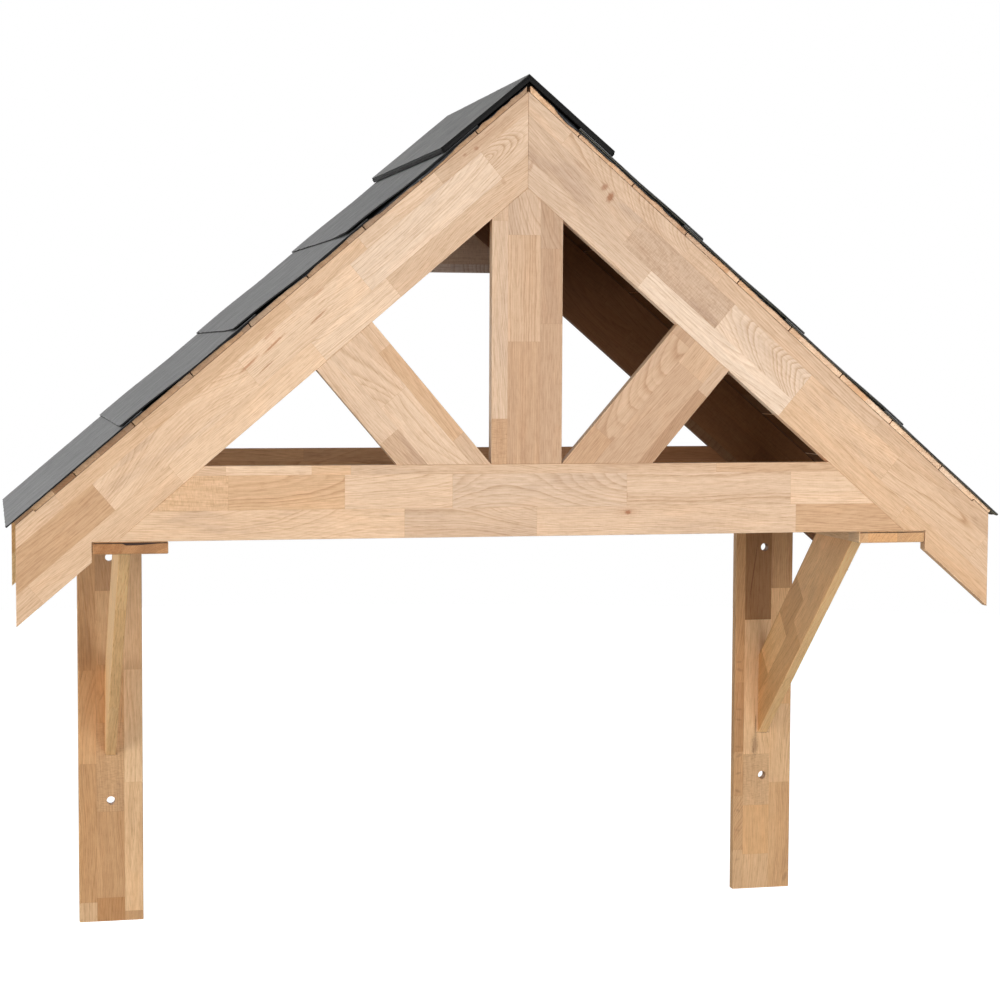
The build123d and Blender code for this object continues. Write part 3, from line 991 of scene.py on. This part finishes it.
# Front corners curl up: (lift, reach back from the verge, radius of the corner) for each course
CURLS = {
    -1: {1: (0.0, 100.0, 3.0), 2: (2.0, 110.0, 4.0), 3: (2.8, 140.0, 9.0), 4: (4.0, 190.0, 5.0)},
    1: {1: (0.0, 100.0, 2.0), 2: (0.4, 90.0, 2.0), 3: (0.4, 90.0, 2.0), 4: (0.4, 90.0, 2.0)},
}


def lay_slates():
    """Four lapped courses on each slope."""
    edge = rough_edge("slate_edge", srgb(30, 30, 30))
    under = rough_edge("slate_under", srgb(138, 138, 124))
    for side, hand in ((-1, "left"), (1, "right")):
        top = riven_slate(f"slate_top_{hand}", side, srgb(117, 117, 117))
        for course in range(1, 5):
            slate_course(side, hand, course, (top, edge, under), *CURLS[side][course])


RIDGE_CORNER = 6.0
RIDGE_COLUMNS = 40
RIDGE_ROWS = 128
CORNER_COLUMNS = 9
RIDGE_THICK = 10.0
RIDGE_RELIEF = 0.8  # share of the courses' riven relief
RIDGE_SEED = 11.0
UPPER_LAYER = 3  # first step of RIDGE_EDGE that belongs to the upper layer
# Edge of the cap from the underside up: (height, how far it stands back). The cap is two layers.
RIDGE_EDGE = [(0.0, 0.5), (0.5, 0.0), (6.0, 0.0), (6.5, 0.4), (6.7, 1.5), (9.4, 1.6), (10.0, 2.2)]


def ridge_section():
    """Crest and tail of the CAD cap's underside, then of its top, as (x, z) in metres."""
    points = {(round(abs(v.co.x), 6), round(v.co.z, 6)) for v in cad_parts["ridge_cap"].data.vertices}
    crest = sorted(z for x, z in points if x < 1e-5)
    tails = sorted((p for p in points if p[0] > 1e-5), key=lambda p: p[0])
    return (0.0, crest[0]), tails[0], (0.0, crest[1]), tails[1]


def ridge_cap():
    """Two wings folded over the crest: riven top, two-layer edges and rounded front corners."""
    crest_low, tail_low, crest_high, tail_high = ridge_section()
    wing = sqrt((tail_low[0] - crest_low[0]) ** 2 + (tail_low[1] - crest_low[1]) ** 2) / MM
    depth = -VERGE / MM
    straight = [(wing - RIDGE_CORNER) * k / RIDGE_COLUMNS for k in range(RIDGE_COLUMNS)]
    rounded = [
        wing - RIDGE_CORNER + RIDGE_CORNER * sin(pi / 2 * k / CORNER_COLUMNS)
        for k in range(CORNER_COLUMNS + 1)
    ]
    half = [s / wing for s in straight + rounded]
    columns = [-t for t in half[:0:-1]] + half
    last_i, last_j = len(columns) - 1, RIDGE_ROWS

    def spot(i, j, height, setback, relief=0.0):
        side, t = (-1 if columns[i] < 0 else 1), abs(columns[i])
        share = height / RIDGE_THICK
        reach = 1 - setback / wing
        s = t * wing * reach
        crest = [low + (high - low) * share for low, high in zip(crest_low, crest_high)]
        tail = [low + (high - low) * share for low, high in zip(tail_low, tail_high)]
        x = crest[0] + (tail[0] - crest[0]) * t * reach
        z = crest[1] + (tail[1] - crest[1]) * t * reach
        radius = RIDGE_CORNER - setback
        into = radius - (wing - setback - s)
        cut = radius - sqrt(max(radius**2 - into**2, 0.0)) if into > 0 else 0.0
        front = depth - setback - cut
        y = front * (1 - j / last_j) if j else front
        wave = noise.noise(Vector((y / 80.0, t * 2.0, 3.0))) * 0.5 - 0.4
        drop = (relief + wave * smooth(0.0, 3.0, height)) * MM
        return (side * (x + drop * sin(PITCH) * min(t * 8, 1.0)), -y * MM, z + drop * cos(PITCH))

    points, store = [], {}

    def place(i, j, k):
        if (i, j, k) not in store:
            height, setback = RIDGE_EDGE[k]
            relief = 0.0
            if k == top_k and 0 < i < last_i and 0 < j < last_j:
                relief = riven(abs(columns[i]) * wing, depth * (1 - j / last_j), RIDGE_SEED) * RIDGE_RELIEF
            store[i, j, k] = len(points)
            points.append(spot(i, j, height, setback, relief))
        return store[i, j, k]

    top_k = len(RIDGE_EDGE) - 1
    faces, slots = [], []
    for i in range(last_i):
        for j in range(last_j):
            faces.append([place(*c, top_k) for c in ((i, j), (i + 1, j), (i + 1, j + 1), (i, j + 1))])
            faces.append([place(*c, 0) for c in ((i, j), (i, j + 1), (i + 1, j + 1), (i + 1, j))])
            slots += [0, 1]
    ring = [(i, 0) for i in range(last_i)] + [(last_i, j) for j in range(last_j)]
    ring += [(i, last_j) for i in range(last_i, 0, -1)] + [(0, j) for j in range(last_j, 0, -1)]
    for k in range(top_k):
        for here, there in zip(ring, ring[1:] + ring[:1]):
            faces.append([place(*here, k), place(*there, k), place(*there, k + 1), place(*here, k + 1)])
            slots.append(0 if k == top_k - 1 else (2 if k >= UPPER_LAYER else 1))
    return points, faces, slots


def lay_ridge():
    """The folded cap, its two layers a little different in shade."""
    points, faces, slots = ridge_cap()
    materials = (
        riven_slate("ridge_top", 0, srgb(130, 130, 129)),
        rough_edge("ridge_edge", srgb(15, 14, 13)),
        rough_edge("ridge_edge_upper", srgb(21, 20, 19)),
    )
    return make_piece("ridge_capping", points, faces, materials, slots, "ridge_cap")


# How far the membrane hangs at places down each slope: (distance from the crest, hang)
MEMBRANE_HANG = {
    1: [
        (0, 0.6), (20, 1.5), (50, 1.6), (62, 4.5), (84, 6.4), (100, 4.6), (125, 3.2), (150, 4.2),
        (172, 4.2), (190, 2.6), (232, 3.2), (262, 3.6), (292, 1.7), (309, 3.6), (326, 2.4), (352, 2.6),
        (400, 2.2), (445, 1.2), (505, 1.6), (530, 2.2), (560, 1.0), (592, 1.6), (605, 0.5), (700, 0.4),
        (850, 0.5), (1086, 0.4),
    ],
    -1: [
        (0, 2.4), (18, 2.6), (30, 0.8), (42, 2.4), (55, 1.2), (76, 2.6), (97, 0.5), (106, 2.6),
        (150, 2.2), (166, 4.4), (190, 5.8), (215, 6.2), (240, 5.6), (258, 3.6), (290, 3.8), (318, 4.0),
        (332, 1.8), (345, 0.7), (362, 1.2), (382, 0.7), (405, 2.0), (430, 2.6), (455, 1.6), (478, 3.6),
        (500, 2.2), (525, 0.8), (590, 0.8), (604, 1.8), (622, 3.2), (655, 1.2), (700, 0.5), (900, 0.5),
        (1086, 0.4),
    ],
}


def hang_at(side, along):
    """How far the membrane hangs below the top of the boarding at its front edge."""
    spots = MEMBRANE_HANG[side]
    for (a, low), (b, high) in zip(spots, spots[1:]):
        if along <= b:
            return low + (high - low) * smooth(a, b, along)
    return spots[-1][1]


MEMBRANE_THICK = 0.5
MEMBRANE_STEP = 5.0  # mesh step down the slope
MEMBRANE_FLATS = (0.0, 220.0, 440.0, 600.0)  # mesh lines on the boarding, from the wall
LIP_ROWS = 7  # mesh rows down the hanging edge


def membrane_outer(side, along, base):
    """(distance from the wall, rise) of the outer face at this place down the slope."""
    front = -FRONT / MM
    room = -VERGE / MM - front
    surface = base + MEMBRANE_THICK
    drop = hang_at(side, along) + 0.35 * noise.noise(Vector((along / 3.1, side, 2.0)))
    drop = max(drop, 0.3)
    bulge = 0.45 + 0.35 * noise.noise(Vector((along / 16.0, side, 6.0)))
    points = [(y, surface) for y in (*MEMBRANE_FLATS, front - 3.0)]
    points.append((front + 0.9, surface - 0.15))
    for k in range(1, LIP_ROWS + 1):
        t = k / LIP_ROWS
        out = 1.3 + (room - 2.2) * bulge * sin(pi * 0.75 * t)
        curl = 0.5 * noise.noise(Vector((along / 7.0, t * 2.0, side + 9.0)))
        points.append((front + min(max(out + curl, 0.8), room - 0.2), surface - 0.3 - drop * t))
    return points


def membrane_inner(outer, base):
    """The same profile moved inwards by the membrane's thickness."""
    flats = len(MEMBRANE_FLATS) + 1
    nearest = -FRONT / MM + 0.2
    moved = [(y, rise - MEMBRANE_THICK) for y, rise in outer[:flats]]
    moved.append((outer[flats][0] - 0.45, base + 0.1))
    return moved + [(max(y - MEMBRANE_THICK, nearest), rise) for y, rise in outer[flats + 1 :]]


def lay_membrane():
    """Black membrane over the boarding, its ragged front edge hanging down in front of it."""
    base = (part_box("underlay")[1].z - APEX) / MM * cos(PITCH) - MEMBRANE_THICK
    count = int(DECK_TAIL / MEMBRANE_STEP)
    stations = [(-1, count - k) for k in range(count)] + [(1, k) for k in range(count + 1)]
    points, faces = [], []
    for side, k in stations:
        along = DECK_TAIL * k / count
        outer = membrane_outer(side, along, base)
        for y, rise in outer + membrane_inner(outer, base):
            if k == 0:
                x, z = 0.0, APEX + rise / cos(PITCH) * MM
            else:
                x, z = on_slope(side, along, rise)
            points.append((x, -y * MM, z))
    width = len(outer)
    stride = 2 * width
    for i in range(len(stations) - 1):
        a, b = i * stride, (i + 1) * stride
        for j in range(width - 1):
            faces.append((a + j, a + j + 1, b + j + 1, b + j))
            faces.append((a + width + j, b + width + j, b + width + j + 1, a + width + j + 1))
        for j in (0, width - 1):
            corner = (a + j, b + j, b + width + j, a + width + j)
            faces.append(corner if j == 0 else corner[::-1])
    end = (len(stations) - 1) * stride
    for j in range(width - 1):
        faces.append((j, width + j, width + j + 1, j + 1))
        faces.append((end + j, end + j + 1, end + width + j + 1, end + width + j))
    slots = [0] * len(faces)
    return make_piece("membrane_sheet", points, faces, (membrane(),), slots, "underlay")


# ---------------------------------------------------------------- stage


def aim(thing, target):
    """Turns a camera or lamp towards a point."""
    direction = Vector(target) - thing.location
    thing.rotation_mode = "QUATERNION"
    thing.rotation_quaternion = direction.to_track_quat("-Z", "Y")


# Softboxes: (name, place, target, size, watts), in metres
SOFTBOXES = (
    ("key", (0.95, -3.3, 0.35), (0.2, -0.4, 0.1), (1.3, 1.2), 44),
    ("centre", (-0.4, -4.2, 0.5), (-0.1, -0.4, 0.1), (1.4, 1.2), 14),
    ("high", (-1.4, -3.4, 2.0), (-0.1, -0.4, 0.1), (1.8, 1.4), 17),
    ("side", (-3.6, -2.4, 0.1), (-0.2, -0.3, -0.1), (1.8, 1.8), 28),
    ("low side", (-3.6, -1.2, -0.2), (-0.2, -0.3, -0.2), (1.8, 1.6), 40),
    ("low", (0.7, -2.8, -2.2), (0.1, -0.3, -0.3), (1.8, 1.2), 70),
    ("back", (-1.5, 3.6, 2.2), (0, 0, 0.1), (3.0, 2.0), 25),
    ("glow", (-1.2, 4.5, 0.2), (-0.3, 0, 0.2), (4.0, 1.0), 30),
)


def softbox(name, place, target, size, watts):
    """Rectangular area lamp that the camera doesn't see."""
    data = bpy.data.lights.new(name, "AREA")
    data.shape = "RECTANGLE"
    data.size, data.size_y = size
    data.energy = watts
    lamp = bpy.data.objects.new(name, data)
    bpy.context.scene.collection.objects.link(lamp)
    lamp.location = place
    lamp.visible_camera = False
    aim(lamp, target)


def studio():
    """White world for the camera, dimmer for the light it casts, and the softboxes."""
    scene = bpy.context.scene
    scene.view_settings.view_transform = "Standard"
    world = bpy.data.worlds.new("studio")
    scene.world = world
    world.use_nodes = True
    g = Graph(world.node_tree)
    world.node_tree.nodes.clear()
    # Less light comes from below than from above
    rise = g.node("ShaderNodeSeparateXYZ", (g.node("ShaderNodeTexCoord").outputs["Generated"],)).outputs[2]
    level = g.span(rise, -0.25, 0.20, 0.13, 0.28)
    sky = g.node("ShaderNodeBackground", {"Color": (1, 1, 1, 1), "Strength": level})
    backdrop = g.node("ShaderNodeBackground", {"Color": (1, 1, 1, 1), "Strength": 1.0})
    seen = g.node("ShaderNodeLightPath").outputs["Is Camera Ray"]
    both = g.node("ShaderNodeMixShader", (seen, sky.outputs[0], backdrop.outputs[0]))
    g.node("ShaderNodeOutputWorld", (both.outputs[0],))
    for box in SOFTBOXES:
        softbox(*box)


FLOOR_DROP = 1.0
FLOOR_REACH = 14.0
FLOOR_SIDES = 64


def white_floor():
    """Plain pale floor well below the canopy. It takes no part in the bounced light."""
    level = cad_box[0].z - FLOOR_DROP
    mesh = bpy.data.meshes.new("floor")
    turns = [2 * pi * k / FLOOR_SIDES for k in range(FLOOR_SIDES)]
    ring = [(FLOOR_REACH * cos(turn), FLOOR_REACH * sin(turn), level) for turn in turns]
    mesh.from_pydata(ring, [], [tuple(range(FLOOR_SIDES))])
    material, _, shader = new_material("floor")
    shader.inputs["Base Color"].default_value = (0.9, 0.9, 0.9, 1)
    shader.inputs["Roughness"].default_value = 0.9
    shader.inputs["Emission Color"].default_value = (1, 1, 1, 1)
    shader.inputs["Emission Strength"].default_value = 0.9
    mesh.materials.append(material)
    slab = bpy.data.objects.new("floor", mesh)
    bpy.context.scene.collection.objects.link(slab)
    slab.visible_diffuse = False
    slab.visible_glossy = False


CAMERA_PLACE = (-0.8681, -4.2524, 0.2435)
CAMERA_LENS = 80.33
CAMERA_TURNS = (("Z", -12.924), ("X", -3.772), ("Y", -0.272))  # yaw, pitch and roll in degrees


def place_camera():
    """Camera at the photograph's viewpoint."""
    data = bpy.data.cameras.new("camera")
    data.sensor_width = 36.0
    data.lens = CAMERA_LENS
    data.clip_end = 100.0
    camera = bpy.data.objects.new("camera", data)
    bpy.context.scene.collection.objects.link(camera)
    turn = Matrix.Identity(3)
    for axis, degrees in (*CAMERA_TURNS, ("X", 90)):
        turn = turn @ Matrix.Rotation(radians(degrees), 3, axis)
    camera.matrix_world = turn.to_4x4()
    camera.location = CAMERA_PLACE
    bpy.context.scene.camera = camera


dress_front_truss()
dress_rear_truss()
dress_brackets()
dress_boarding()
lay_slates()
lay_ridge()
lay_membrane()
place_camera()
studio()
white_floor()
